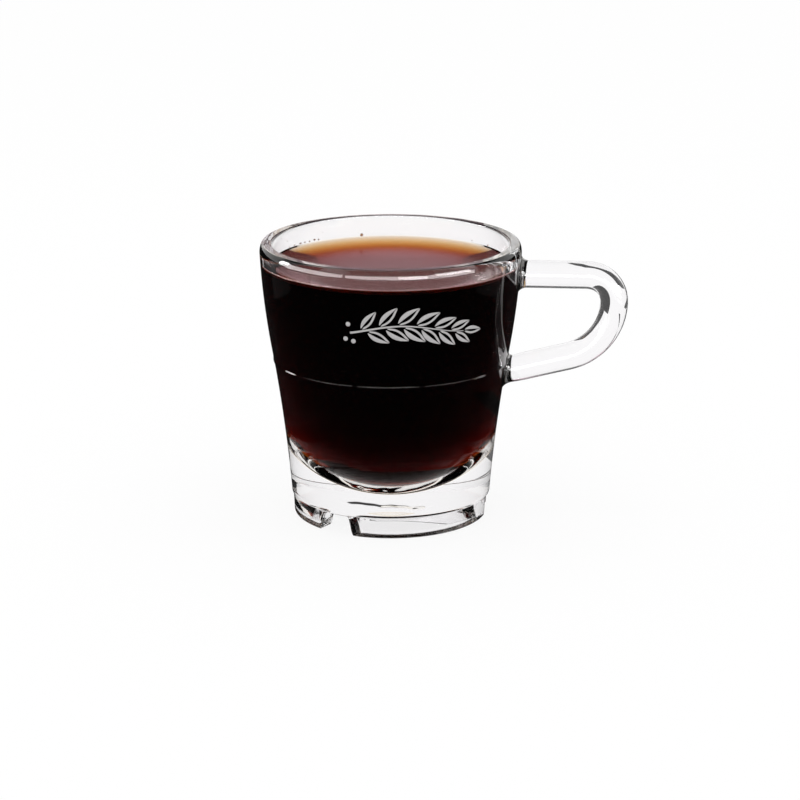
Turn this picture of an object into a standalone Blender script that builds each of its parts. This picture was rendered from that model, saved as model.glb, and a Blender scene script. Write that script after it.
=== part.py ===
"""Espresso glass: a thick pressed bowl on a notched foot, a fused rod handle, and the coffee in it.

Metres, +Z up. The glass stands on Z = 0 with its handle towards +X, and the origin is under
the middle of the whole outline, so that the bowl's axis lies a little way along -X.
"""

import math

import bmesh
import bpy
from mathutils import Vector

MM = 0.001

# Bowl, outside
HEIGHT = 66.1 * MM  # table to the flat top of the rim
RIM_RADIUS = 31.0 * MM  # over the rounded lip
LIP_PROUD = 0.15 * MM  # how far the lip stands out past the wall under it
LIP_HEIGHT = 3.5 * MM  # rim's top down to where the wall proper starts
LIP_INNER = 0.3 * MM  # rounding of the top's inner edge
LIP_OUTER = 1.0 * MM  # width of the long rounding at the top's outer edge
LIP_FALL = 2.0 * MM  # how far down that rounding runs
CREASE_HEIGHT = 37.8 * MM  # table to the mould line round the wall
CREASE_RADIUS = 27.8 * MM  # wall at that line
RIDGE = 0.1 * MM  # how far the mould line stands out
RIDGE_RUN = 0.6 * MM  # from its crest up or down to the plain wall
SHOULDER_BOW = 0.42 * MM  # how far the upper wall swells past a straight taper
WAIST_BOW = 0.35 * MM  # how far the lower wall falls inside a straight taper

# Foot
FOOT_RADIUS = 23.8 * MM  # at the line that parts the foot from the wall
FOOT_HEIGHT = 5.1 * MM  # table to that line
FOOT_DRAFT = 0.45 * MM  # radius lost from the line down to the table
FOOT_EDGE = 0.6 * MM  # rounding at the table
LINE_DEPTH = 0.25 * MM  # of the fine groove above the foot
LINE_WIDTH = 0.7 * MM
RING_WIDTH = 4.6 * MM  # of the ring that the glass stands on, both its roundings included
RING_DRAFT = 1.4 * MM  # lean of the ring's inner face, from the table up to the hollow's ceiling
HOLLOW_DEPTH = 4.7 * MM  # table to that ceiling, which is flat
HOLLOW_ROUND = 0.7 * MM  # rounding at the bottom and the top of the ring's inner face

# Three drain notches through the ring
NOTCH_COUNT = 3
NOTCH_TABLE_WIDTH = 9.8 * MM
NOTCH_ROOF_WIDTH = 6.4 * MM
NOTCH_ROOF_GAP = 0.2 * MM  # roof of the notch up to the ceiling of the hollow
NOTCH_REACH = 7.6 * MM  # inwards from the outside of the foot
NOTCH_ROUND = 0.9 * MM  # rounding of the roof's corners

# Bowl, inside
RIM_WALL = 3.0 * MM
BASE_WALL = 4.0 * MM  # wall where the rounded floor begins
FLOOR_HEIGHT = 7.3 * MM  # table to the deepest point inside
FLOOR_RISE = 20.0 * MM  # deepest point to where the floor has become wall

# Handle, a bent glass rod with both ends flared on to the wall
ROD_RADIUS = 3.25 * MM
HANDLE_REACH = 25.1 * MM  # past the outside of the rim
ARM_DROP = 7.35 * MM  # top of the rim to the centre of the upper arm
UPPER_BEND = 6.2 * MM  # radius of the rod's centre line
LOWER_BEND = 14.1 * MM
LOWER_ARM_SLOPE = math.radians(14.0)
FLARE = 1.3 * MM  # how much the rod widens where it meets the wall
FLARE_LENGTH = 2.6 * MM

# Coffee
FILL_GAP = 6.7 * MM  # top of the rim down to the coffee

# Between pieces that touch, and how finely round things are divided
SEAT_GAP = 0.3 * MM
TURNS = 64
WALL_STEPS = 6
FLOOR_STEPS = 8
EDGE_STEPS = 3
BEND_STEP = math.radians(11.25)
FLARE_STEPS = 5
ROD_SIDES_RESOLUTION = 4

AXIS_X = -HANDLE_REACH / 2


def between(a, b, share):
    return a + (b - a) * share


def bowed(start, end, bow, steps):
    """Points from start to end, swelling outwards by bow at the middle; start is left out."""
    shares = [step / steps for step in range(1, steps + 1)]
    return [
        (between(start[0], end[0], s) + 4 * bow * s * (1 - s), between(start[1], end[1], s))
        for s in shares
    ]


def arc(centre, radius, first, last, steps):
    """Points on a round stretch from angle first to angle last, both included."""
    angles = [between(first, last, step / steps) for step in range(steps + 1)]
    return [(centre[0] + radius * math.cos(a), centre[1] + radius * math.sin(a)) for a in angles]


def wall_top():
    return (RIM_RADIUS - LIP_PROUD, HEIGHT - LIP_HEIGHT)


def outer_wall():
    """The outside of the wall from under the lip down to the line above the foot."""
    upper_end = (CREASE_RADIUS, CREASE_HEIGHT + RIDGE_RUN)
    crest = (CREASE_RADIUS + RIDGE, CREASE_HEIGHT)
    lower_start = (CREASE_RADIUS, CREASE_HEIGHT - RIDGE_RUN)
    lower_end = (FOOT_RADIUS, FOOT_HEIGHT + LINE_WIDTH / 2)
    upper = bowed(wall_top(), upper_end, SHOULDER_BOW, WALL_STEPS)
    lower = bowed(lower_start, lower_end, -WAIST_BOW, WALL_STEPS)
    return [wall_top()] + upper + [crest, lower_start] + lower


def radius_at(profile, height):
    """The radius of a profile that runs downwards, at one height."""
    for (r0, z0), (r1, z1) in zip(profile, profile[1:]):
        if z1 <= height <= z0:
            return between(r0, r1, (z0 - height) / (z0 - z1)) if z0 > z1 else r0
    return profile[0][0] if height > profile[0][1] else profile[-1][0]


def inner_radius(height):
    """Half the width of the inside: the outer wall less a thickness that grows downwards."""
    corner = FLOOR_HEIGHT + FLOOR_RISE
    share = (wall_top()[1] - height) / (wall_top()[1] - corner)
    straight = radius_at(outer_wall(), height) - between(RIM_WALL, BASE_WALL, share)
    if height >= corner:
        return straight
    dip = (corner - height) / FLOOR_RISE
    return straight * math.sqrt(max(0.0, 1 - dip * dip))


def inside_profile():
    """The inside, from the deepest point up to the lip."""
    corner = FLOOR_HEIGHT + FLOOR_RISE
    turns = [step / FLOOR_STEPS * math.pi / 2 for step in range(FLOOR_STEPS + 1)]
    floor = [corner - FLOOR_RISE * math.cos(turn) for turn in turns]
    wall = [between(corner, wall_top()[1], step / WALL_STEPS) for step in range(1, WALL_STEPS + 1)]
    return [(inner_radius(height), height) for height in floor + wall]


def lip_profile():
    """(crest, outer edge): the lip has a crisp inner edge, a flat top and a long rounding outside."""
    corner = (RIM_RADIUS - RIM_WALL + LIP_INNER, HEIGHT - LIP_INNER)
    crest = arc(corner, LIP_INNER, math.pi, math.pi / 2, EDGE_STEPS)
    quarter = arc((0.0, 0.0), 1.0, math.pi / 2, 0.0, EDGE_STEPS)
    edge = [(RIM_RADIUS - LIP_OUTER * (1 - r), HEIGHT - LIP_FALL * (1 - z)) for r, z in quarter]
    return crest, edge


def foot_profile():
    """The outside of the foot, the ring that it stands on and the flat hollow inside that ring."""
    groove = (FOOT_RADIUS - LINE_DEPTH, FOOT_HEIGHT)
    side_top = (FOOT_RADIUS, FOOT_HEIGHT - LINE_WIDTH / 2)
    edge_centre = (FOOT_RADIUS - FOOT_DRAFT - FOOT_EDGE, FOOT_EDGE)
    edge = arc(edge_centre, FOOT_EDGE, 0.0, -math.pi / 2, EDGE_STEPS)
    heel_radius = FOOT_RADIUS - FOOT_DRAFT - RING_WIDTH
    heel = arc((heel_radius + HOLLOW_ROUND, HOLLOW_ROUND), HOLLOW_ROUND, -math.pi / 2, -math.pi, EDGE_STEPS)
    ceiling_centre = (heel_radius - RING_DRAFT - HOLLOW_ROUND, HOLLOW_DEPTH - HOLLOW_ROUND)
    ceiling = arc(ceiling_centre, HOLLOW_ROUND, 0.0, math.pi / 2, EDGE_STEPS)
    return [groove, side_top] + edge + heel + ceiling + [(0.0, HOLLOW_DEPTH)]


def moved_out(profile, distance):
    """The profile moved square to itself, to the left of the way it runs."""
    moved = []
    for index, (r, z) in enumerate(profile):
        before = Vector(profile[max(index - 1, 0)])
        after = Vector(profile[min(index + 1, len(profile) - 1)])
        along = (after - before).normalized()
        moved.append((max(0.0, r - along.y * distance), z + along.x * distance))
    return moved


def material(name, colour, roughness, transmission, ior):
    made = bpy.data.materials.new(name)
    made.use_nodes = True
    shader = made.node_tree.nodes["Principled BSDF"]
    shader.inputs["Base Color"].default_value = (*colour, 1.0)
    shader.inputs["Metallic"].default_value = 0.0
    shader.inputs["Roughness"].default_value = roughness
    shader.inputs["Transmission Weight"].default_value = transmission
    shader.inputs["IOR"].default_value = ior
    return made


def add_object(name, data, collection, parent):
    made = bpy.data.objects.new(name, data)
    collection.objects.link(made)
    made.parent = parent
    return made


def turned(name, profile, collection, parent):
    """A solid of revolution: the profile in the XZ plane, swept round Z by a Screw modifier."""
    mesh = bpy.data.meshes.new(name)
    edges = [(index, index + 1) for index in range(len(profile) - 1)]
    mesh.from_pydata([(r, 0.0, z) for r, z in profile], edges, [])
    made = add_object(name, mesh, collection, parent)
    screw = made.modifiers.new("turn", "SCREW")
    screw.axis = "Z"
    screw.angle = 2 * math.pi
    screw.steps = screw.render_steps = TURNS
    screw.use_merge_vertices = True
    screw.merge_threshold = 0.00001
    screw.use_smooth_shade = True
    return made


def cutter(made):
    made.hide_render = True
    made.display_type = "WIRE"
    return made


def cut(target, tool):
    boolean = target.modifiers.new("cut " + tool.name, "BOOLEAN")
    boolean.operation = "DIFFERENCE"
    boolean.object = tool


def notch_cutter(index, collection, parent):
    """A radial wedge through the ring, wide at the table and narrow at its rounded roof."""
    height = HOLLOW_DEPTH - NOTCH_ROOF_GAP
    overlap = FOOT_EDGE
    inner = FOOT_RADIUS - NOTCH_REACH
    length = NOTCH_REACH + overlap
    slope = (NOTCH_TABLE_WIDTH - NOTCH_ROOF_WIDTH) / height
    mesh = bpy.data.meshes.new(f"notch_{index}")
    shape = bmesh.new()
    bmesh.ops.create_cube(shape, size=1.0)
    for corner in shape.verts:
        z = height if corner.co.z > 0 else -overlap
        width = NOTCH_ROOF_WIDTH + slope * (height - z)
        corner.co = (inner + (corner.co.x + 0.5) * length, corner.co.y * width, z)
    roof_edges = [
        edge for edge in shape.edges
        if all(end.co.z > 0 for end in edge.verts)
        and (edge.verts[0].co - edge.verts[1].co).normalized().y == 0.0
    ]
    bmesh.ops.bevel(
        shape, geom=roof_edges, offset=NOTCH_ROUND, segments=EDGE_STEPS, affect="EDGES", profile=0.5
    )
    shape.to_mesh(mesh)
    shape.free()
    made = cutter(add_object(mesh.name, mesh, collection, parent))
    made.rotation_euler.z = 2 * math.pi * index / NOTCH_COUNT
    return made


def build_bowl(parts, cutters, parent, glass):
    crest, edge = lip_profile()
    profile = inside_profile() + crest + edge + outer_wall() + foot_profile()
    bowl = turned("bowl", profile, parts, parent)
    bowl.data.materials.append(glass)
    for index in range(NOTCH_COUNT):
        cut(bowl, notch_cutter(index, cutters, parent))
    return bowl


def handle_path():
    """(upper, lower) bend of the rod's centre line, from the upper arm to the lower one."""
    arm_height = HEIGHT - ARM_DROP
    outermost = RIM_RADIUS + HANDLE_REACH - ROD_RADIUS
    turn_height = arm_height - UPPER_BEND
    upper_centre = (outermost - UPPER_BEND, turn_height)
    lower_centre = (outermost - LOWER_BEND, turn_height)
    upper_steps = math.ceil(math.pi / 2 / BEND_STEP)
    lower_turn = math.pi / 2 - LOWER_ARM_SLOPE
    lower_steps = math.ceil(lower_turn / BEND_STEP)
    upper = arc(upper_centre, UPPER_BEND, math.pi / 2, 0.0, upper_steps)
    lower = arc(lower_centre, LOWER_BEND, 0.0, -lower_turn, lower_steps)
    return upper, lower[1:]


def wall_hit(start, direction):
    """Where a straight arm that runs inwards meets the outside of the wall."""
    wall = outer_wall()
    low, high = 0.0, start[0] / -direction[0]
    for _ in range(40):
        middle = (low + high) / 2
        point = (start[0] + direction[0] * middle, start[1] + direction[1] * middle)
        if point[0] > radius_at(wall, point[1]):
            low = middle
        else:
            high = middle
    return (start[0] + direction[0] * low, start[1] + direction[1] * low)


def arm(seat, elbow):
    """(point, rod radius) along one straight arm from inside the wall out to its elbow."""
    outwards = (Vector(elbow) - Vector(seat)).normalized()
    seat = Vector(seat)
    sunk = [(seat - outwards * FLARE_LENGTH, ROD_RADIUS + FLARE)]
    flared = []
    for step in range(FLARE_STEPS + 1):
        share = step / FLARE_STEPS
        flared.append((seat + outwards * FLARE_LENGTH * share, ROD_RADIUS + FLARE * (1 - share) ** 2))
    return sunk + flared


def build_handle(parts, cutters, parent, glass):
    upper, lower = handle_path()
    upper_arm = arm(wall_hit(upper[0], (-1.0, 0.0)), upper[0])
    lower_way = (-math.cos(LOWER_ARM_SLOPE), -math.sin(LOWER_ARM_SLOPE))
    lower_arm = arm(wall_hit(lower[-1], lower_way), lower[-1])
    bend = [(Vector(point), ROD_RADIUS) for point in upper + lower]
    rod = upper_arm + bend + lower_arm[::-1]

    curve = bpy.data.curves.new("handle_rod", "CURVE")
    curve.dimensions = "3D"
    curve.bevel_depth = ROD_RADIUS
    curve.bevel_resolution = ROD_SIDES_RESOLUTION
    curve.use_fill_caps = True
    spline = curve.splines.new("POLY")
    spline.points.add(len(rod) - 1)
    for point, (place, radius) in zip(spline.points, rod):
        point.co = (place.x, 0.0, place.y, 1.0)
        point.radius = radius / ROD_RADIUS
    rod_curve = add_object("handle_rod", curve, parts, parent)

    bpy.context.view_layer.update()
    evaluated = rod_curve.evaluated_get(bpy.context.evaluated_depsgraph_get())
    mesh = bpy.data.meshes.new_from_object(evaluated)
    mesh.name = "handle"
    shape = bmesh.new()
    shape.from_mesh(mesh)
    bmesh.ops.remove_doubles(shape, verts=shape.verts, dist=0.00001)
    shape.to_mesh(mesh)
    shape.free()
    mesh.shade_smooth()
    mesh.set_sharp_from_angle(angle=math.radians(40))
    handle = add_object("handle", mesh, parts, parent)
    handle.matrix_world = rod_curve.matrix_world
    bpy.data.objects.remove(rod_curve)
    handle.data.materials.clear()
    handle.data.materials.append(glass)

    outside = lip_profile()[1] + outer_wall()
    seat = [(0.0, HEIGHT + SEAT_GAP)] + moved_out(outside, SEAT_GAP) + [(0.0, outside[-1][1])]
    cut(handle, cutter(turned("wall_seat", seat, cutters, parent)))
    return handle


def build_coffee(parts, parent, liquid):
    level = HEIGHT - FILL_GAP
    wetted = [point for point in inside_profile() if point[1] < level]
    wetted.append((inner_radius(level), level))
    sides = moved_out(wetted, SEAT_GAP)
    sides[0] = (0.0, FLOOR_HEIGHT + SEAT_GAP)
    sides[-1] = (sides[-1][0], level)
    coffee = turned("coffee", [(0.0, level)] + sides[::-1], parts, parent)
    coffee.data.materials.append(liquid)
    return coffee


def main():
    for old in list(bpy.data.objects):
        bpy.data.objects.remove(old)
    parts = bpy.data.collections.new("espresso_glass")
    cutters = bpy.data.collections.new("cutters")
    for collection in (parts, cutters):
        bpy.context.scene.collection.children.link(collection)
    axis = add_object("bowl_axis", None, parts, None)
    axis.location.x = AXIS_X

    glass = material("clear_glass", (1.0, 1.0, 1.0), 0.0, 1.0, 1.52)
    liquid = material("black_coffee", (0.05, 0.015, 0.006), 0.05, 0.0, 1.34)
    build_bowl(parts, cutters, axis, glass)
    build_handle(parts, cutters, axis, glass)
    build_coffee(parts, axis, liquid)


main()
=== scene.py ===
import math

import bmesh
import bpy
import numpy as np
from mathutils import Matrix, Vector


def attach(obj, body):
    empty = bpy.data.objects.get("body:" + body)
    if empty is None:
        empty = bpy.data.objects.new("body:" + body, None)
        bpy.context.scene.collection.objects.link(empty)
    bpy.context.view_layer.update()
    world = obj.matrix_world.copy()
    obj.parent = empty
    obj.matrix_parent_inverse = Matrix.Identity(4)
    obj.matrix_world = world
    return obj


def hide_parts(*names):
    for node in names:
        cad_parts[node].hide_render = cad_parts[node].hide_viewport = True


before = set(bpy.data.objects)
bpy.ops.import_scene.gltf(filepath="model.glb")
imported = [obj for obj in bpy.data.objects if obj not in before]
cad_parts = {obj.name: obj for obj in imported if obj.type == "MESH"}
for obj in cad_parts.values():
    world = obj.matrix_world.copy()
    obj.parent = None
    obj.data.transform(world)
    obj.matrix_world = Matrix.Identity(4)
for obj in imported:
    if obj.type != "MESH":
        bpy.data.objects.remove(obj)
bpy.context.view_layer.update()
mm = 0.001
axisX = -12.55  # bowl's axis along X, in mm, as in the CAD
rightAngle = math.pi / 2
print("frame loaded:", ", ".join(sorted(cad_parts)))


def linear(hexColour):  # sRGB hex to a linear RGBA
    parts = [int(hexColour[i:i + 2], 16) / 255 for i in (1, 3, 5)]
    return (*[c / 12.92 if c <= 0.04045 else ((c + 0.055) / 1.055) ** 2.4 for c in parts], 1.0)


def addNode(tree, kind, settings=None, links=None):  # one node with its values and what feeds it
    node = tree.nodes.new(kind)
    for name, value in (settings or {}).items():
        if isinstance(name, int) or name in node.inputs:
            node.inputs[name].default_value = value
        else:
            setattr(node, name, value)
    for name, socket in (links or {}).items():
        tree.links.new(socket, node.inputs[name])
    return node


def newMaterial(name):
    material = bpy.data.materials.new(name)
    material.use_nodes = True
    material.node_tree.nodes.clear()
    return material, material.node_tree


def between(a, b, share):
    return a + (b - a) * share


def smooth(x):  # 0 to 1 with level ends
    x = np.clip(x, 0.0, 1.0)
    return x * x * (3 - 2 * x)


def meshObject(name, points, faces, material):  # points in mm round the bowl's axis
    mesh = bpy.data.meshes.new(name)
    placed = (np.asarray(points, float) + (axisX, 0.0, 0.0)) * mm
    mesh.from_pydata(placed.tolist(), [], faces)
    mesh.materials.append(material)
    mesh.shade_smooth()
    made = bpy.data.objects.new(name, mesh)
    bpy.context.scene.collection.objects.link(made)
    return made


def gridFaces(rows, columns, first=0, closed=True):  # quads over rows of points, each row a ring
    faces = []
    for row in range(rows - 1):
        for column in range(columns if closed else columns - 1):
            after = (column + 1) % columns
            a, b = first + row * columns, first + (row + 1) * columns
            faces.append((a + column, b + column, b + after, a + after))
    return faces


def cappedFaces(rows, columns, first=0):  # rings and a fan at each end, to the two points after them
    faces = gridFaces(rows, columns, first)
    start, last = first + rows * columns, first + (rows - 1) * columns
    for column in range(columns):
        after = (column + 1) % columns
        faces.append((start, first + column, first + after))
        faces.append((start + 1, last + after, last + column))
    return faces


def outwards(made):  # faces turned to look out
    shape = bmesh.new()
    shape.from_mesh(made.data)
    bmesh.ops.recalc_face_normals(shape, faces=shape.faces)
    shape.to_mesh(made.data)
    shape.free()


# Bowl

bowlShape = {  # mm, up from the table and out from the axis
    "height": 66.1, "rimRadius": 30.85, "lipHeight": 3.5, "underLip": 3.0,
    "lipInner": 0.3, "lipOuter": 1.0, "lipFall": 2.3,
    "creaseHeight": 37.8, "creaseRadius": 27.8, "creaseRun": 1.0, "creaseFine": 0.6,
    "ridge": 0.175, "ridgeRun": 0.5, "shoulderBow": 0.42, "waistBow": 0.35,
    "footRadius": 23.8, "footHeight": 5.1, "footDraft": 0.2, "footEdge": 0.6,
    "lineOver": 0.2, "lineUnder": 0.12,
    "ringWidth": 4.6, "ringDraft": 1.4, "hollowDepth": 4.7, "hollowRound": 0.7,
    "notchTable": 9.8, "notchRoof": 6.4, "notchRound": 0.9, "notchEase": 0.02, "notchCore": 12.0,
    "rimWall": 3.0, "baseWall": 4.0, "floorHeight": 7.3, "floorRise": 20.0,
}
coffeeShape = {  # mm; wet is how far the coffee's skin lies in the glass
    "level": 59.1, "meniscus": 2.3, "meniscusRun": 2.7, "wet": 0.012, "edgeZone": 12.0,
}
contactHeight = coffeeShape["level"] + coffeeShape["meniscus"]  # where the coffee meets the wall


def outerRadius(z):
    s = bowlShape
    top, crease, foot = s["height"] - s["lipHeight"], s["creaseHeight"], s["footHeight"]
    t = (top - z) / (top - crease)
    upper = between(s["rimRadius"], s["creaseRadius"], t) + 4 * s["shoulderBow"] * t * (1 - t)
    t = (crease - z) / (crease - foot)
    lower = between(s["creaseRadius"], s["footRadius"], t) - 4 * s["waistBow"] * t * (1 - t)
    body = between(lower, upper, smooth((z - crease) / s["creaseRun"] + 0.5))
    ridge = s["ridge"] * np.exp(-((z - crease) / s["ridgeRun"]) ** 2)
    return body + ridge


def innerRadius(z):
    s = bowlShape
    top, corner = s["height"] - s["lipHeight"], s["floorHeight"] + s["floorRise"]
    wall = between(s["rimWall"], s["baseWall"], (top - z) / (top - corner))
    straight = outerRadius(np.maximum(z, s["footHeight"])) - wall
    dip = np.clip((corner - z) / s["floorRise"], 0.0, 1.0)
    return straight * np.sqrt(1 - dip * dip)


def insideProfile():  # deepest point up to the lip
    s = bowlShape
    corner = s["floorHeight"] + s["floorRise"]
    floor = corner - s["floorRise"] * np.cos(np.linspace(0, rightAngle, 30))
    wall = np.linspace(corner, contactHeight, 30)[1:]
    dry = np.linspace(contactHeight, s["height"] - s["lipInner"], 12)[1:]
    z = np.concatenate([floor, wall, dry])
    return np.column_stack([innerRadius(z), z])


def lipProfile():  # a crisp inner edge, a flat top and a long outer rounding
    s = bowlShape
    inner, width, fall = s["lipInner"], s["lipOuter"], s["lipFall"]
    centre = np.array((innerRadius(s["height"] - inner) + inner, s["height"] - inner))
    turn = np.linspace(math.pi, rightAngle, 9)[1:]
    crest = centre + np.column_stack([inner * np.cos(turn), inner * np.sin(turn)])
    centre = np.array((outerRadius(s["height"] - fall) - width, s["height"] - fall))
    turn = np.linspace(rightAngle, 0, 30)
    edge = centre + np.column_stack([width * np.cos(turn), fall * np.sin(turn)])
    top = np.linspace(crest[-1], edge[0], 8)[1:-1]
    return np.vstack([crest, top, edge])


def outsideProfile():  # under the lip down to the foot's line, in small steps over the crease
    s = bowlShape
    lip, crease, fine = lipProfile()[-1][1], s["creaseHeight"], s["creaseFine"]
    stops = [lip, lip - s["underLip"], crease + fine, crease - fine, s["footHeight"] + s["lineOver"]]
    runs = zip(stops, stops[1:], (12, 26, 14, 30))
    z = np.concatenate([np.linspace(a, b, steps)[1:] for a, b, steps in runs])
    return np.column_stack([outerRadius(z), z])


def footProfiles():  # the foot's section between the notches, and in one
    s = bowlShape
    line, radius, edge, ceiling = s["footHeight"], s["footRadius"], s["footEdge"], s["hollowDepth"]
    over, under, ease = s["lineOver"], s["lineUnder"], s["hollowRound"]
    turn = np.linspace(0, rightAngle, 9)[1:]
    sine, cosine = np.sin(turn), np.cos(turn)
    roll = np.column_stack([radius - over + over * cosine, line + over - over * sine])
    fillet = np.column_stack([radius - over - under * sine, line - under + under * cosine])
    bottom = radius - over - under - s["footDraft"]
    side = np.linspace(fillet[-1], (bottom, edge), 9)[1:]
    corner = np.column_stack([bottom - edge + edge * cosine, edge - edge * sine])
    low, high = bottom - s["ringWidth"], bottom - s["ringWidth"] - s["ringDraft"]
    land = np.linspace(corner[-1], (low + ease, 0.0), 5)[1:]
    heel = np.column_stack([low + ease - ease * sine, ease - ease * cosine])
    wall = np.linspace(heel[-1], (high, ceiling - ease), 7)[1:]
    crown = np.column_stack([high - ease + ease * cosine, ceiling - ease + ease * sine])
    middle = np.linspace(crown[-1], (0.0, ceiling), 44)[1:]
    face, ring = np.vstack([roll, fillet, side]), np.vstack([corner, land, heel, wall, crown])

    big, drop = s["notchRound"], line + over - ceiling
    turn = np.linspace(0, rightAngle, len(face) + 1)[1:]
    eave = np.column_stack([radius - big + big * np.cos(turn), line + over - drop * np.sin(turn)])
    inner, outer = high - ease, eave[-1][0] - s["notchEase"]
    r = np.interp(ring[:, 0], [inner, low, bottom], [inner, low, outer])
    roof = np.column_stack([r, ceiling + 0 * r])
    return np.vstack([face, ring, middle]), np.vstack([eave, roof, middle])


markShape = {  # mm; each ripple has a rate per mm, a share and a start
    "length": 16.0, "wide": 2.2, "deep": 0.34, "slant": -0.5, "back": -4.4, "sway": 0.6,
    "ripples": ((1.1, 1.0, 0.0), (2.3, 0.6, 1.0)), "taper": 2.0, "within": 14.0,
}


def shearMark(x, y):  # low wavy scar left under the middle of the base where the glass was cut
    m = markShape
    ripple = sum(share * np.sin(rate * x + start) for rate, share, start in m["ripples"])
    line = m["back"] + m["slant"] * x + m["sway"] * ripple
    taper = smooth((m["length"] / 2 - np.abs(x)) / m["taper"])
    return m["deep"] * taper * np.exp(-((y - line) / m["wide"]) ** 2)


angleSteps = {"notches": 3, "coarse": 1.25, "fine": 0.4, "fineFrom": 5, "fineTo": 15}  # degrees
thirdTurn = 360 / angleSteps["notches"]  # from one notch to the next


def bowlAngles():  # close together at the notch walls
    a = angleSteps
    near = np.radians(np.concatenate([
        np.arange(0, a["fineFrom"], a["coarse"]), np.arange(a["fineFrom"], a["fineTo"], a["fine"]),
        np.arange(a["fineTo"], thirdTurn / 2, a["coarse"])]))
    half = np.concatenate([-near[:0:-1], near])
    return np.concatenate([half + math.radians(thirdTurn) * k for k in range(a["notches"])])


def bowlMesh(dry, wet):
    s = bowlShape
    foot, notch = footProfiles()
    inside = insideProfile()
    top = np.vstack([inside, lipProfile(), outsideProfile()])
    angles = bowlAngles()
    offset = (np.degrees(angles) + thirdTurn / 2) % thirdTurn - thirdTurn / 2  # from the nearest notch
    plain, cut = np.vstack([top, foot]), np.vstack([top, notch])
    rows = []
    for a, b in zip(plain[1:-1], cut[1:-1]):
        across = np.abs(np.radians(offset)) * max(a[0], s["notchCore"])
        lean = s["notchTable"] / 2 - s["notchRoof"] / 2
        share = 1 - smooth((across - s["notchRoof"] / 2) / lean)
        r, z = between(a[0], b[0], share), between(a[1], b[1], share)
        x, y = r * np.cos(angles), r * np.sin(angles)
        if len(rows) > len(top) and a[0] < markShape["within"]:
            z = z - shearMark(x, y)
        rows.append(np.column_stack([x, y, z + 0 * angles]))
    count, columns = len(rows), len(angles)
    points = np.vstack([*rows, [(0, 0, plain[0][1])], [(0, 0, plain[-1][1])]])
    made = meshObject("bowl_glass", points, cappedFaces(count, columns), dry)
    made.data.materials.append(wet)
    deepest = count * columns  # the point in the middle of the floor
    wetRows = int(np.argmin(np.abs(inside[:, 1] - contactHeight))) - 1
    for face in made.data.polygons:
        ring = min(face.vertices) // columns
        face.material_index = int(ring < wetRows or deepest in face.vertices)
    return made


# Handle

handleShape = {  # mm, degrees; start and tail are straight runs which end inside the wall
    "rod": 3.25, "reach": 56.1, "armHeight": 58.75, "upperBend": 6.2, "lowerBend": 14.1,
    "slope": 14.0, "fillet": 2.1, "seat": 0.35, "square": 0.5, "squareRun": 5.0,
    "start": 20.0, "tail": 25.0, "sunk": 1.4, "spacing": 0.1, "easeSteps": 31,
    "sides": 72, "endSteps": 60, "fineStep": 2, "coarseStep": 6,
}


def handlePath():  # centre line in the XZ plane, evenly spaced, and its depth under the wall's face
    h = handleShape
    out, turnHeight = h["reach"] - h["rod"], h["armHeight"] - h["upperBend"]
    slope = math.radians(h["slope"])
    arcs = []
    for bend, turn in ((h["upperBend"], np.linspace(rightAngle, 0, 60)),
                       (h["lowerBend"], np.linspace(0, -(rightAngle - slope), 80))):
        arcs.append(np.column_stack([out - bend + bend * np.cos(turn), turnHeight + bend * np.sin(turn)]))
    way = np.array((-math.cos(slope), -math.sin(slope)))
    ends = [(h["start"], h["armHeight"])], [arcs[1][-1] + way * h["tail"]]
    path = np.vstack([ends[0], arcs[0], arcs[1][1:], ends[1]])
    length = np.concatenate([[0], np.cumsum(np.linalg.norm(np.diff(path, axis=0), axis=1))])
    even = np.arange(0, length[-1], h["spacing"])
    path = np.column_stack([np.interp(even, length, path[:, i]) for i in (0, 1)])
    wide = np.ones(h["easeSteps"]) / h["easeSteps"]  # eases the joins between straight and bend
    eased = np.column_stack([np.convolve(path[:, i], wide, "valid") for i in (0, 1)])
    lowest, highest = 6, 64  # heights at which there is a plain wall
    inside = outerRadius(np.clip(eased[:, 1], lowest, highest)) - eased[:, 0]
    keep = np.nonzero(inside < h["sunk"])[0]
    return eased[keep[0]:keep[-1] + 1], inside[keep[0]:keep[-1] + 1]


def handleMesh(material):
    h = handleShape
    path, depth = handlePath()
    total, ends, fine = len(path), h["endSteps"], h["fineStep"]
    picked = sorted({*range(0, ends, fine), *range(ends, total - ends, h["coarseStep"]),
                     *range(total - ends, total, fine), total - 1})
    tangents = np.gradient(path, axis=0)
    tangents /= np.linalg.norm(tangents, axis=1)[:, None]
    turn = np.linspace(0, 2 * math.pi, h["sides"], endpoint=False)
    rings = []
    for index in picked:
        x, z = path[index]
        clear = h["seat"] - depth[index]  # off the wall's face
        stand = np.clip(clear / h["fillet"], 0.0, 1.0)  # 0 at the wall, 1 past the fillet
        radius = h["rod"] + h["fillet"] * (1 - math.sqrt(max(0.0, 1 - (1 - stand) ** 2)))
        wallSlope = outerRadius(z + 0.5) - outerRadius(z - 0.5)
        square = np.array((1.0, -wallSlope)) * (1 if index < total / 2 else -1)
        square /= np.linalg.norm(square)
        free = float(smooth((clear - h["square"]) / h["squareRun"]))
        tangent = between(square, tangents[index], free)  # rings near the wall lie along it
        tangent /= np.linalg.norm(tangent)
        side = np.array((-tangent[1], tangent[0]))
        rings.append(np.column_stack([x + radius * np.cos(turn) * side[0], radius * np.sin(turn),
                                      z + radius * np.cos(turn) * side[1]]))
    points = np.vstack([*rings, [rings[0].mean(0)], [rings[-1].mean(0)]])
    return meshObject("handle_glass", points, cappedFaces(len(rings), h["sides"]), material)


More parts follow.
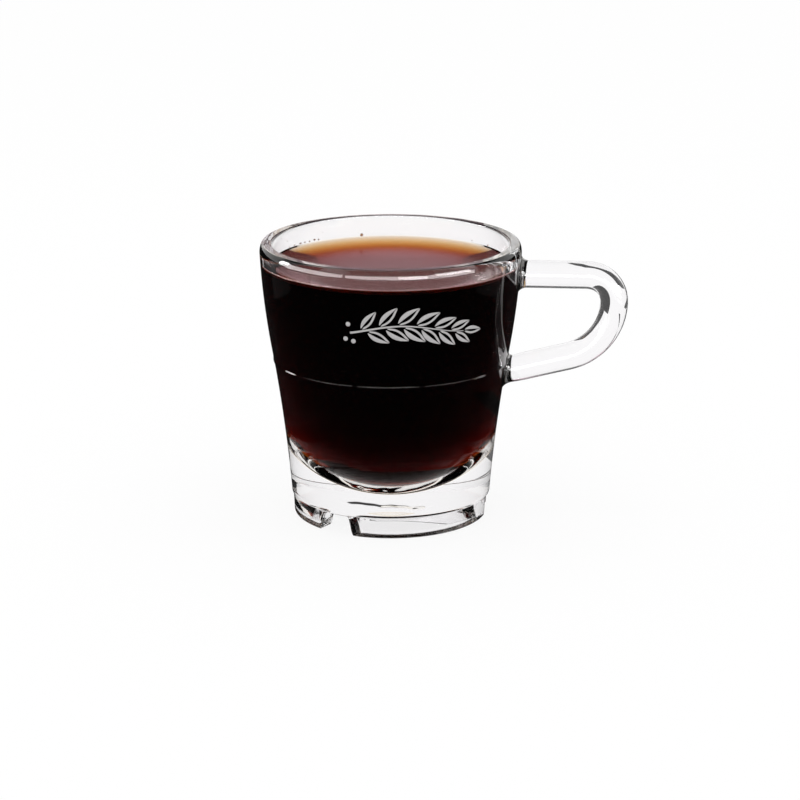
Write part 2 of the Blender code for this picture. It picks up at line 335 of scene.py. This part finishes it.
def fused(name, base, added):  # one closed body, as the real glass is
    union = base.modifiers.new("fuse", "BOOLEAN")
    union.operation = "UNION"
    union.object = added
    union.solver = "EXACT"
    bpy.context.view_layer.update()
    whole = base.evaluated_get(bpy.context.evaluated_depsgraph_get())
    mesh = bpy.data.meshes.new_from_object(whole)
    made = bpy.data.objects.new(name, mesh)
    bpy.context.scene.collection.objects.link(made)
    for old in (base, added):
        bpy.data.objects.remove(old)
    mesh.name = name
    mesh.shade_smooth()
    return made


glassLook = {
    "ior": 1.52, "sheen": "#FFFFFF",
    "wetIor": 1.10, "wetSheen": "#26100C",  # glass against coffee, which leaves a low, brown glint
    "tint": "#FEFDFE", "roughness": 0.0, "waveMm": 9.0, "waveHeightMm": 0.01,
}


def pressedSodaGlass(name, ior, sheen):  # fire polished: clear and bright, faintly and slowly wavy
    material, tree = newMaterial(name)
    look = glassLook
    where = addNode(tree, "ShaderNodeTexCoord")
    wave = addNode(tree, "ShaderNodeTexNoise",
                   {"Scale": 1 / (look["waveMm"] * mm), "Detail": 1.0, "Roughness": 0.4},
                   {"Vector": where.outputs["Object"]})
    bump = addNode(tree, "ShaderNodeBump", {"Strength": 1.0, "Distance": look["waveHeightMm"] * mm},
                   {"Height": wave.outputs["Fac"]})
    shader = addNode(tree, "ShaderNodeBsdfPrincipled",
                     {"Base Color": linear(look["tint"]), "Roughness": look["roughness"], "IOR": ior,
                      "Specular Tint": linear(sheen), "Transmission Weight": 1.0},
                     {"Normal": bump.outputs["Normal"]})
    addNode(tree, "ShaderNodeOutputMaterial", None, {"Surface": shader.outputs["BSDF"]})
    return material


clearGlass = pressedSodaGlass("pressed_soda_glass", glassLook["ior"], glassLook["sheen"])
wetGlass = pressedSodaGlass("pressed_soda_glass_wetted", glassLook["wetIor"], glassLook["wetSheen"])
bowl = bowlMesh(clearGlass, wetGlass)
handle = handleMesh(clearGlass)
for piece in (bowl, handle):
    outwards(piece)
cup = fused("glass_cup", bowl, handle)
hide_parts("bowl", "handle")
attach(cup, "root")
print("glass cup:", len(cup.data.polygons), "faces")


# Coffee

coffeeLook = {  # density per metre of what the colour doesn't let through
    "ior": 1.333, "roughness": 0.1, "lets": "#ECCD72", "density": 1000.0,
    "oils": "#B83A20", "oilShare": 0.155,
}


def blackCoffee():  # brewed coffee: near black in depth, orange brown where it is thin
    material, tree = newMaterial("black_coffee")
    look = coffeeLook
    openAir = addNode(tree, "ShaderNodeAttribute", {"attribute_name": "open_air"})
    held = addNode(tree, "ShaderNodeBsdfTransparent")  # against the glass, which does the bending itself
    free = addNode(tree, "ShaderNodeBsdfPrincipled",
                   {"Base Color": linear("#FFFFFF"), "Roughness": look["roughness"], "IOR": look["ior"],
                    "Transmission Weight": 1.0})
    oils = addNode(tree, "ShaderNodeBsdfDiffuse", {"Color": linear(look["oils"])})
    surface = addNode(tree, "ShaderNodeMixShader", {0: look["oilShare"]},
                      {1: free.outputs[0], 2: oils.outputs[0]})
    shader = addNode(tree, "ShaderNodeMixShader", None,
                     {0: openAir.outputs["Fac"], 1: held.outputs[0], 2: surface.outputs[0]})
    depth = addNode(tree, "ShaderNodeVolumeAbsorption",
                    {"Color": linear(look["lets"]), "Density": look["density"]})
    addNode(tree, "ShaderNodeOutputMaterial", None,
            {"Surface": shader.outputs[0], "Volume": depth.outputs["Volume"]})
    return material


def coffeeMesh(material):
    c = coffeeShape
    inside = insideProfile()
    sides = inside[inside[:, 1] <= contactHeight + 0.001]
    along = np.gradient(sides, axis=0)
    along /= np.linalg.norm(along, axis=1)[:, None]
    sides = sides + np.column_stack([along[:, 1], -along[:, 0]]) * c["wet"]  # just into the glass
    sides[0] = (0.0, bowlShape["floorHeight"] - c["wet"])
    edge, zone = sides[-1][0], c["edgeZone"]
    back = np.concatenate([np.linspace(0, zone, 49)[1:], np.linspace(zone, edge, 14)[1:]])
    rise = c["meniscus"] * np.exp(-back / c["meniscusRun"])
    profile = np.vstack([sides, np.column_stack([edge - back, c["level"] + rise])])
    turn = bowlAngles()
    rows = [np.column_stack([r * np.cos(turn), r * np.sin(turn), z + 0 * turn]) for r, z in profile[1:-1]]
    count, columns = len(rows), len(turn)
    points = np.vstack([*rows, [(0, 0, profile[0][1])], [(0, 0, profile[-1][1])]])
    made = meshObject("coffee_fill", points, cappedFaces(count, columns), material)
    free = made.data.attributes.new("open_air", "FLOAT", "POINT")
    ring = np.arange(len(points)) // columns
    top = (ring > len(sides) - 1).astype(float)
    top[count * columns] = 0.0  # the point in the middle of the floor
    free.data.foreach_set("value", top)
    return made


coffee = coffeeMesh(blackCoffee())
outwards(coffee)
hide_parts("coffee")
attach(coffee, "root")
print("coffee:", len(coffee.data.polygons), "faces")


# Frosted sprig on the wall

sprigShape = {  # mm, degrees; laid out flat and then wrapped round the wall
    "turn": -75.0, "height": 52.0, "under": 0.004, "proud": 0.03,
    "length": 27.0, "centre": 0.55, "sway": 1.2, "waves": 0.8, "phase": -0.6, "stem": 0.5, "tip": 0.16,
    "pairs": 6, "first": 0.55, "stagger": 0.32, "spare": 0.5, "lean": 40.0, "leanRange": (1.15, 0.75),
    "leaf": 6.4, "leafWidth": 2.4, "stalk": 0.5, "bend": 0.5, "vein": 0.34, "outline": 0.5,
    "least": 0.62, "swell": 0.38, "endLeaf": (0.985, 4.0, 0.8),
    "berry": 0.55, "berryBack": -1.6, "berries": ((0.04, 1.84), (0.02, -1.6), (0.09, -2.48)),
}


def sprigStem(t):  # centre of the stem, t from 0 at its foot to 1 at its tip
    s = sprigShape
    wave = math.sin(2 * math.pi * t * s["waves"] + s["phase"])
    return np.array((s["length"] * (t - s["centre"]), s["sway"] * wave))


def sprigLeaf(t, lean, size):  # one half filled and one outlined, with a clear vein between them
    s = sprigShape
    foot = sprigStem(t)
    way = sprigStem(min(t + 0.01, 1.0)) - sprigStem(t - 0.01)
    angle = math.atan2(way[1], way[0]) + math.radians(lean)
    turned = np.array(((math.cos(angle), math.sin(angle)), (-math.sin(angle), math.cos(angle))))
    share = np.linspace(0.05, 0.97, 18)
    reach = s["stalk"] + share * s["leaf"] * size
    belly = s["leafWidth"] * size * np.sin(math.pi * share ** 0.85) ** 0.9 / 2
    bend = s["bend"] * size * share ** 2 * (-1 if lean > 0 else 1)
    gap = s["vein"] / 2 * between(1.0, 0.25, share)
    halves = []
    for hand in (1, -1):
        inner = gap if hand * lean > 0 else np.maximum(belly - s["outline"], gap)
        outer = np.maximum(belly, gap + 0.05)
        halves.append(tuple(foot + np.column_stack([reach, bend + hand * offset]) @ turned
                            for offset in (inner, outer)))
    return halves


def sprigStrips():  # each is two edges that a thin plate fills
    s = sprigShape
    along = np.linspace(0, 1, 40)
    centre = np.array([sprigStem(t) for t in along])
    way = np.gradient(centre, axis=0)
    side = np.column_stack([-way[:, 1], way[:, 0]]) / np.linalg.norm(way, axis=1)[:, None]
    half = between(s["stem"], s["tip"], along)[:, None] / 2
    strips = [(centre + side * half, centre - side * half)]
    for pair in range(s["pairs"]):
        for hand in (1, -1):
            t = (pair + s["first"] + s["stagger"] * (hand < 0)) / (s["pairs"] + s["spare"])
            size = s["least"] + s["swell"] * math.sin(math.pi * (0.18 + 0.72 * t))  # largest in the middle
            strips += sprigLeaf(t, hand * s["lean"] * between(*s["leanRange"], t), size)
    strips += sprigLeaf(*s["endLeaf"])
    for t, aside in s["berries"]:
        middle = sprigStem(t) + (s["berryBack"], aside)
        turn = np.linspace(0.06, math.pi - 0.06, 17)
        ring = np.column_stack([np.cos(turn), np.sin(turn)]) * s["berry"]
        strips.append((middle + ring, middle + ring * (1, -1)))
    return strips


def onWall(flat, proud):  # flat layout points to the outside of the wall
    s = sprigShape
    z = s["height"] + flat[:, 1]
    r = outerRadius(z)
    angle = math.radians(s["turn"]) + flat[:, 0] / r
    return np.column_stack([(r + proud) * np.cos(angle), (r + proud) * np.sin(angle), z])


sprigLook = {"deep": "#9A9898", "pale": "#B6B4B4", "gritMm": 0.22, "gritDepthMm": 0.02,
             "roughness": 0.75, "ior": 1.52}  # grit is finer than this, drawn coarse enough to show


def sandblastedGlass():  # etched with grit: pale, matt and evenly speckled where light catches it
    material, tree = newMaterial("sandblasted_glass")
    look = sprigLook
    where = addNode(tree, "ShaderNodeTexCoord")
    grit = addNode(tree, "ShaderNodeTexNoise",
                   {"Scale": 1 / (look["gritMm"] * mm), "Detail": 3.0, "Roughness": 0.7},
                   {"Vector": where.outputs["Object"]})
    tone = addNode(tree, "ShaderNodeValToRGB", None, {0: grit.outputs["Fac"]})
    for stop, place, colour in zip(tone.color_ramp.elements, (0.3, 0.7), (look["deep"], look["pale"])):
        stop.position, stop.color = place, linear(colour)
    bump = addNode(tree, "ShaderNodeBump", {"Strength": 0.5, "Distance": look["gritDepthMm"] * mm},
                   {"Height": grit.outputs["Fac"]})
    shader = addNode(tree, "ShaderNodeBsdfPrincipled",
                     {"Roughness": look["roughness"], "IOR": look["ior"]},
                     {"Base Color": tone.outputs["Color"], "Normal": bump.outputs["Normal"]})
    addNode(tree, "ShaderNodeOutputMaterial", None, {"Surface": shader.outputs["BSDF"]})
    return material


def sprigMesh(material):
    points, faces = [], []
    across = 4
    for left, right in sprigStrips():
        rows = [between(left, right, k / across) for k in range(across + 1)]
        count, size = len(left), len(left) * (across + 1)
        first = len(points)
        for proud in (sprigShape["proud"], sprigShape["under"]):
            for row in rows:
                points.extend(onWall(row, proud))
        faces += gridFaces(across + 1, count, first, closed=False)
        faces += [face[::-1] for face in gridFaces(across + 1, count, first + size, closed=False)]
        border = [*range(count), *[count * k + count - 1 for k in range(1, across + 1)],
                  *[count * across + k for k in range(count - 2, -1, -1)],
                  *[count * k for k in range(across - 1, 0, -1)]]
        for a, b in zip(border, border[1:] + border[:1]):
            faces.append((first + a, first + b, first + size + b, first + size + a))
    return meshObject("frosted_sprig", points, faces, material)


sprig = sprigMesh(sandblastedGlass())
outwards(sprig)
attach(sprig, "root")
print("sprig:", len(sprig.data.polygons), "faces")


# Drops at the coffee's edge

dropPlaces = [  # degrees round the axis, mm up the inside of the wall, mm across, times as wide as tall
    (109.4, 61.55, 0.81, 1), (156, 61.60, 0.30, 1.2), (151.4, 61.65, 0.34, 1.3),
    (146.4, 61.65, 0.36, 2.4), (143.2, 61.65, 0.31, 2), (139.8, 61.60, 0.34, 1.5),
    (136.4, 61.75, 0.42, 1.8), (133.8, 61.60, 0.36, 1.2), (164, 64.50, 0.26, 1),
    (157.5, 63.20, 0.24, 1), (49.1, 61.75, 0.27, 1), (36.7, 61.65, 0.42, 1.2),
    (131.1, 63.20, 0.21, 1), (-125.5, 61.55, 0.42, 1.3), (-83.1, 61.60, 0.29, 1.2),
    (-78, 61.55, 0.34, 1), (-76.4, 61.55, 0.31, 1), (-65.8, 61.60, 0.26, 1),
]
dropShape = {"rings": 7, "sides": 14, "bulge": 0.4, "clear": 0.02}  # bulge per width, clear of the wall in mm
dropLook = {"deep": "#7A5240", "pale": "#D9B79C", "cloudMm": 0.3, "roughness": 0.02, "ior": 1.333}


def coffeeDrop():  # thin coffee: clear, pale amber
    material, tree = newMaterial("coffee_drop")
    look = dropLook
    where = addNode(tree, "ShaderNodeTexCoord")
    cloud = addNode(tree, "ShaderNodeTexNoise", {"Scale": 1 / (look["cloudMm"] * mm)},
                    {"Vector": where.outputs["Object"]})
    tone = addNode(tree, "ShaderNodeValToRGB", None, {0: cloud.outputs["Fac"]})
    for stop, colour in zip(tone.color_ramp.elements, (look["deep"], look["pale"])):
        stop.color = linear(colour)
    shader = addNode(tree, "ShaderNodeBsdfPrincipled",
                     {"Roughness": look["roughness"], "IOR": look["ior"], "Transmission Weight": 1.0},
                     {"Base Color": tone.outputs["Color"]})
    addNode(tree, "ShaderNodeOutputMaterial", None, {"Surface": shader.outputs["BSDF"]})
    return material


def dropMesh(material):  # each bead hangs just clear of the wall
    points, faces = [], []
    rings, sides = dropShape["rings"], dropShape["sides"]
    for turn, height, size, wide in dropPlaces:
        turn, first = math.radians(turn), len(points)
        away = np.array((-math.cos(turn), -math.sin(turn), 0.0))
        aside, up = np.array((math.sin(turn), -math.cos(turn), 0.0)), np.array((0.0, 0.0, 1.0))
        foot = -away * (innerRadius(height) - dropShape["clear"]) + up * height
        crown = away * size * dropShape["bulge"]
        for ring in range(rings):
            lift = rightAngle * ring / rings
            for side in range(sides):
                angle = 2 * math.pi * side / sides
                flat = aside * math.cos(angle) * wide + up * math.sin(angle)
                points.append(foot + flat * size / 2 * math.cos(lift) + crown * math.sin(lift))
        points += [foot, foot + crown]
        faces += cappedFaces(rings, sides, first)
    return meshObject("coffee_drops", points, faces, material)


drops = dropMesh(coffeeDrop())
outwards(drops)
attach(drops, "root")
print("drops:", len(drops.data.polygons), "faces")


# Studio

studioLook = {
    "floor": "#FAFAFA", "floorSize": 3.0, "floorDrop": 0.05, "plainShare": 0.88,  # m, mm under the foot
    "mirrorFloor": "#1A1A1A",  # what the wall mirrors of it
    "ambient": 0.95, "whiteTo": 0.5, "darkFrom": 0.62, "zenith": 0.05,  # heights in the sky, 0 to 1
    "room": 0.08, "roomTo": -0.1, "whiteFrom": 0.4,  # the dim room on the camera's side
}


def floorMaterial():  # matt white sweep, plain white to the eye and through glass
    material, tree = newMaterial("white_sweep")
    s = studioLook
    path = addNode(tree, "ShaderNodeLightPath")
    seen = addNode(tree, "ShaderNodeMath", {"operation": "MAXIMUM"},
                   {0: path.outputs["Is Camera Ray"], 1: path.outputs["Is Transmission Ray"]})
    share = addNode(tree, "ShaderNodeMath", {"operation": "MULTIPLY", 1: s["plainShare"]},
                    {0: seen.outputs[0]})
    matt = addNode(tree, "ShaderNodeBsdfDiffuse", {"Color": linear(s["floor"])})
    white = addNode(tree, "ShaderNodeEmission", {"Color": linear("#FFFFFF"), "Strength": 1.0})
    dark = addNode(tree, "ShaderNodeEmission", {"Color": linear(s["mirrorFloor"]), "Strength": 1.0})
    mirrored = addNode(tree, "ShaderNodeMath", {"operation": "SUBTRACT", "use_clamp": True},
                       {0: path.outputs["Is Glossy Ray"], 1: path.outputs["Is Transmission Ray"]})
    lit = addNode(tree, "ShaderNodeMixShader", None,
                  {0: share.outputs[0], 1: matt.outputs[0], 2: white.outputs[0]})
    both = addNode(tree, "ShaderNodeMixShader", None,
                   {0: mirrored.outputs[0], 1: lit.outputs[0], 2: dark.outputs[0]})
    addNode(tree, "ShaderNodeOutputMaterial", None, {"Surface": both.outputs[0]})
    return material


def studioFloor():
    size = studioLook["floorSize"]
    mesh = bpy.data.meshes.new("floor")
    corners = [(-size, -size, 0), (size, -size, 0), (size, size, 0), (-size, size, 0)]
    mesh.from_pydata(corners, [], [(0, 1, 2, 3)])
    mesh.materials.append(floorMaterial())
    made = bpy.data.objects.new("floor", mesh)
    made.location.z = -studioLook["floorDrop"] * mm
    bpy.context.scene.collection.objects.link(made)


def studioWorld():  # white low down, dark overhead; the wall also mirrors a dim room in front
    world = bpy.data.worlds.new("studio")
    bpy.context.scene.world = world
    world.use_nodes = True
    tree = world.node_tree
    tree.nodes.clear()
    s = studioLook
    path = addNode(tree, "ShaderNodeLightPath")
    where = addNode(tree, "ShaderNodeTexCoord")
    parts = addNode(tree, "ShaderNodeSeparateXYZ", None, {0: where.outputs["Generated"]})
    through = addNode(tree, "ShaderNodeMapRange",
                      {"From Min": s["whiteTo"], "From Max": s["darkFrom"], "To Min": 1.0,
                       "To Max": s["zenith"], "interpolation_type": "SMOOTHSTEP"},
                      {"Value": parts.outputs["Z"]})
    behind = addNode(tree, "ShaderNodeMapRange",
                     {"From Min": s["roomTo"], "From Max": s["whiteFrom"], "To Min": s["room"],
                      "To Max": 1.0, "interpolation_type": "SMOOTHSTEP"},
                     {"Value": parts.outputs["Y"]})
    mirror = addNode(tree, "ShaderNodeMath", {"operation": "MULTIPLY"},
                     {0: through.outputs[0], 1: behind.outputs[0]})
    first = addNode(tree, "ShaderNodeMixRGB", {1: (s["ambient"],) * 3 + (1,)},
                    {0: path.outputs["Is Glossy Ray"], 2: mirror.outputs[0]})
    second = addNode(tree, "ShaderNodeMixRGB", None,
                     {0: path.outputs["Is Transmission Ray"], 1: first.outputs[0], 2: through.outputs[0]})
    third = addNode(tree, "ShaderNodeMixRGB", {2: linear("#FFFFFF")},
                    {0: path.outputs["Is Camera Ray"], 1: second.outputs[0]})
    back = addNode(tree, "ShaderNodeBackground", {"Strength": 1.0}, {"Color": third.outputs[0]})
    addNode(tree, "ShaderNodeOutputWorld", None, {"Surface": back.outputs[0]})


def areaLamp(name, place, target, size, watts):
    data = bpy.data.lights.new(name, "AREA")
    data.shape = "RECTANGLE"
    data.size, data.size_y = size
    data.energy = watts
    lamp = bpy.data.objects.new(name, data)
    lamp.location = place
    lamp.rotation_euler = (Vector(target) - Vector(place)).to_track_quat("-Z", "Y").to_euler()
    bpy.context.scene.collection.objects.link(lamp)
    return lamp


def roundFront(turn, away, up):  # degrees from the front, m, m
    turn = math.radians(turn)
    return away * math.sin(turn), -away * math.cos(turn), up


lampTarget = (axisX * mm, 0, 0.05)
windowShapes = {  # place in m, size in m, watts
    "left_window": ((-0.62, 0.1, 0.2), (0.12, 0.16), 1.2),
    "right_window": ((0.5, -0.3, 0.2), (0.35, 0.16), 2.0),
    "lip_window_front": (roundFront(0, 0.65, 0.1), (0.9, 0.22), 5.0),  # the long highlight under the lip
    "lip_window_left": (roundFront(-72, 0.65, 0.1), (0.9, 0.22), 5.0),
    "lip_window_right": (roundFront(45, 0.65, 0.1), (0.9, 0.22), 5.0),
    "low_window_front": (roundFront(0, 0.25, 0.013), (0.27, 0.02), 0.02),  # a faint line along the crease
    "low_window_left": (roundFront(-62, 0.25, 0.013), (0.27, 0.02), 0.02),
    "low_window_right": (roundFront(62, 0.25, 0.013), (0.27, 0.02), 0.02),
    "low_glint_left": ((-0.204, 0.043, 0.005), (0.06, 0.008), 0.012),
    "low_glint_right": ((0.186, 0.013, 0.005), (0.05, 0.008), 0.007),
}


def softWindows():  # only mirrored, as glints on rounded edges
    for name, (place, size, watts) in windowShapes.items():
        lamp = areaLamp(name, place, lampTarget, size, watts)
        lamp.visible_diffuse = lamp.visible_transmission = lamp.visible_camera = False


darkShade = "#3F3F3F"
darkShapes = {  # mm from the bowl's axis: outlines of black cards, and of painted shade on the floor
    "right_flag": [(61, 60, 60), (66, 60, 31), (86, 60, 27), (90, 60, 0), (90, 60, 90), (61, 60, 90)],
    "right_wing": [(90, 60, 0), (120, 25, 0), (120, 25, 60), (90, 60, 90)],
    # painted shade on the floor behind and right of the cup: a dark patch that only the glass shows
    "right_floor_shade": [(57, 10, 0.1), (92, 0, 0.1), (230, -5, 0.1), (120, 30, 0.1), (92, 62, 0.1),
                    (66, 42, 0.1)],
    # painted shade on the floor left of the cup: a dark patch that only the glass shows
    "left_floor_shade": [(-66, -45, 0.1), (-68, 60, 0.1), (-82, 98, 0.1), (-92, 190, 0.1), (-175, 185, 0.1),
                   (-190, -60, 0.1)],
    "left_blind": [(-98, 37, 26), (-115, -11, 26), (-115, -11, 60), (-98, 37, 60)],
    "right_blind": [(106, 22, 26), (114, -27, 26), (114, -27, 60), (106, 22, 60)],
    "small_card": [(47.7, 19.7, 46), (46.2, 15.9, 46), (45.3, 12.6, 46), (44.3, 11.1, 46), (42.6, 9.8, 46),
                   (41.4, 10.4, 46), (42.2, 12.8, 46), (43.4, 15.6, 46), (44.8, 17.8, 46), (45.6, 20, 46)],
}


def hideFrom(made, rays):
    for ray in rays:
        setattr(made, "visible_" + ray, False)


def darkCards():  # black cards and painted floor shade, met only by light that has passed through the glass, the blinds only by mirrored light
    material, tree = newMaterial("black_card_and_floor_shade")
    shade = addNode(tree, "ShaderNodeEmission", {"Color": linear(darkShade), "Strength": 1.0})
    addNode(tree, "ShaderNodeOutputMaterial", None, {"Surface": shade.outputs[0]})
    for name, corners in darkShapes.items():
        made = meshObject(name, corners, [tuple(range(len(corners)))], material)
        unmet = "transmission" if "blind" in name else "glossy"
        hideFrom(made, ("camera", "diffuse", unmet, "shadow", "volume_scatter"))


cardShape = {  # mm: a card close behind the rim which the coffee mirrors, and how bright it is at each height
    "behind": 45.0, "left": -48.0, "right": 20.0, "low": 61.0, "step": 86.0, "high": 131.0, "top": 17.0,
    "tint": "#FAE0EA", "bright": [(61, 1.0), (65.5, 1.0), (68, 0.62), (71, 0.25), (76, 0.25), (80, 0.6),
                                  (84, 0.6), (90, 0.06)],
}


def fadingCard():  # wide and bright low down, narrow and dim higher up
    c = cardShape
    material, tree = newMaterial("white_card")
    where = addNode(tree, "ShaderNodeTexCoord")
    parts = addNode(tree, "ShaderNodeSeparateXYZ", None, {0: where.outputs["Object"]})
    up = addNode(tree, "ShaderNodeMapRange", {"From Min": c["low"] * mm, "From Max": c["high"] * mm},
                 {"Value": parts.outputs["Z"]})
    lit = addNode(tree, "ShaderNodeValToRGB", None, {0: up.outputs[0]})
    stops = lit.color_ramp.elements
    while len(stops) < len(c["bright"]):
        stops.new(0.5)
    for stop, (height, grey) in zip(stops, c["bright"]):
        stop.position = (height - c["low"]) / (c["high"] - c["low"])
        stop.color = (grey, grey, grey, 1)
    shade = addNode(tree, "ShaderNodeEmission", {"Color": linear(c["tint"])},
                    {"Strength": lit.outputs["Color"]})
    addNode(tree, "ShaderNodeOutputMaterial", None, {"Surface": shade.outputs[0]})
    left, right, top, low, step, high = [c[key] for key in ("left", "right", "top", "low", "step", "high")]
    outline = [(left, low), (right, low), (right, step), (top, step), (top, high),
               (-top, high), (-top, step), (left, step)]
    corners = [(x, c["behind"], z) for x, z in outline]
    made = meshObject("white_card", corners, [tuple(range(len(corners)))], material)
    hideFrom(made, ("camera", "diffuse", "shadow", "volume_scatter"))


cameraShot = {  # degrees, mm
    "azimuth": 4.5, "away": 610.4, "height": 205.6, "pitch": 16.3, "yaw": 0.207,
    "lens": 119.4, "sensor": 36.0,
}


def photoCamera():
    c = cameraShot
    around = math.radians(c["azimuth"])
    data = bpy.data.cameras.new("camera")
    data.lens, data.sensor_width = c["lens"], c["sensor"]
    data.clip_start, data.clip_end = 0.01, 20.0
    camera = bpy.data.objects.new("camera", data)
    place = (axisX + c["away"] * math.sin(around), -c["away"] * math.cos(around), c["height"])
    camera.location = Vector(place) * mm
    camera.rotation_euler = (math.radians(90 - c["pitch"]), 0, around - math.radians(c["yaw"]))
    bpy.context.scene.collection.objects.link(camera)
    bpy.context.scene.camera = camera


studioFloor()
studioWorld()
overhead = areaLamp("overhead_strip", (0.0, -0.06, 0.75), (0, 0, 0.05), (1.0, 0.16), 0.8)
overhead.visible_glossy = False
softWindows()
darkCards()
fadingCard()
photoCamera()
bpy.context.scene.view_settings.view_transform = "Standard"
paths = bpy.context.scene.cycles  # light runs far round inside the thick rim and foot
paths.max_bounces, paths.glossy_bounces, paths.transmission_bounces = 40, 24, 24
print("studio set")
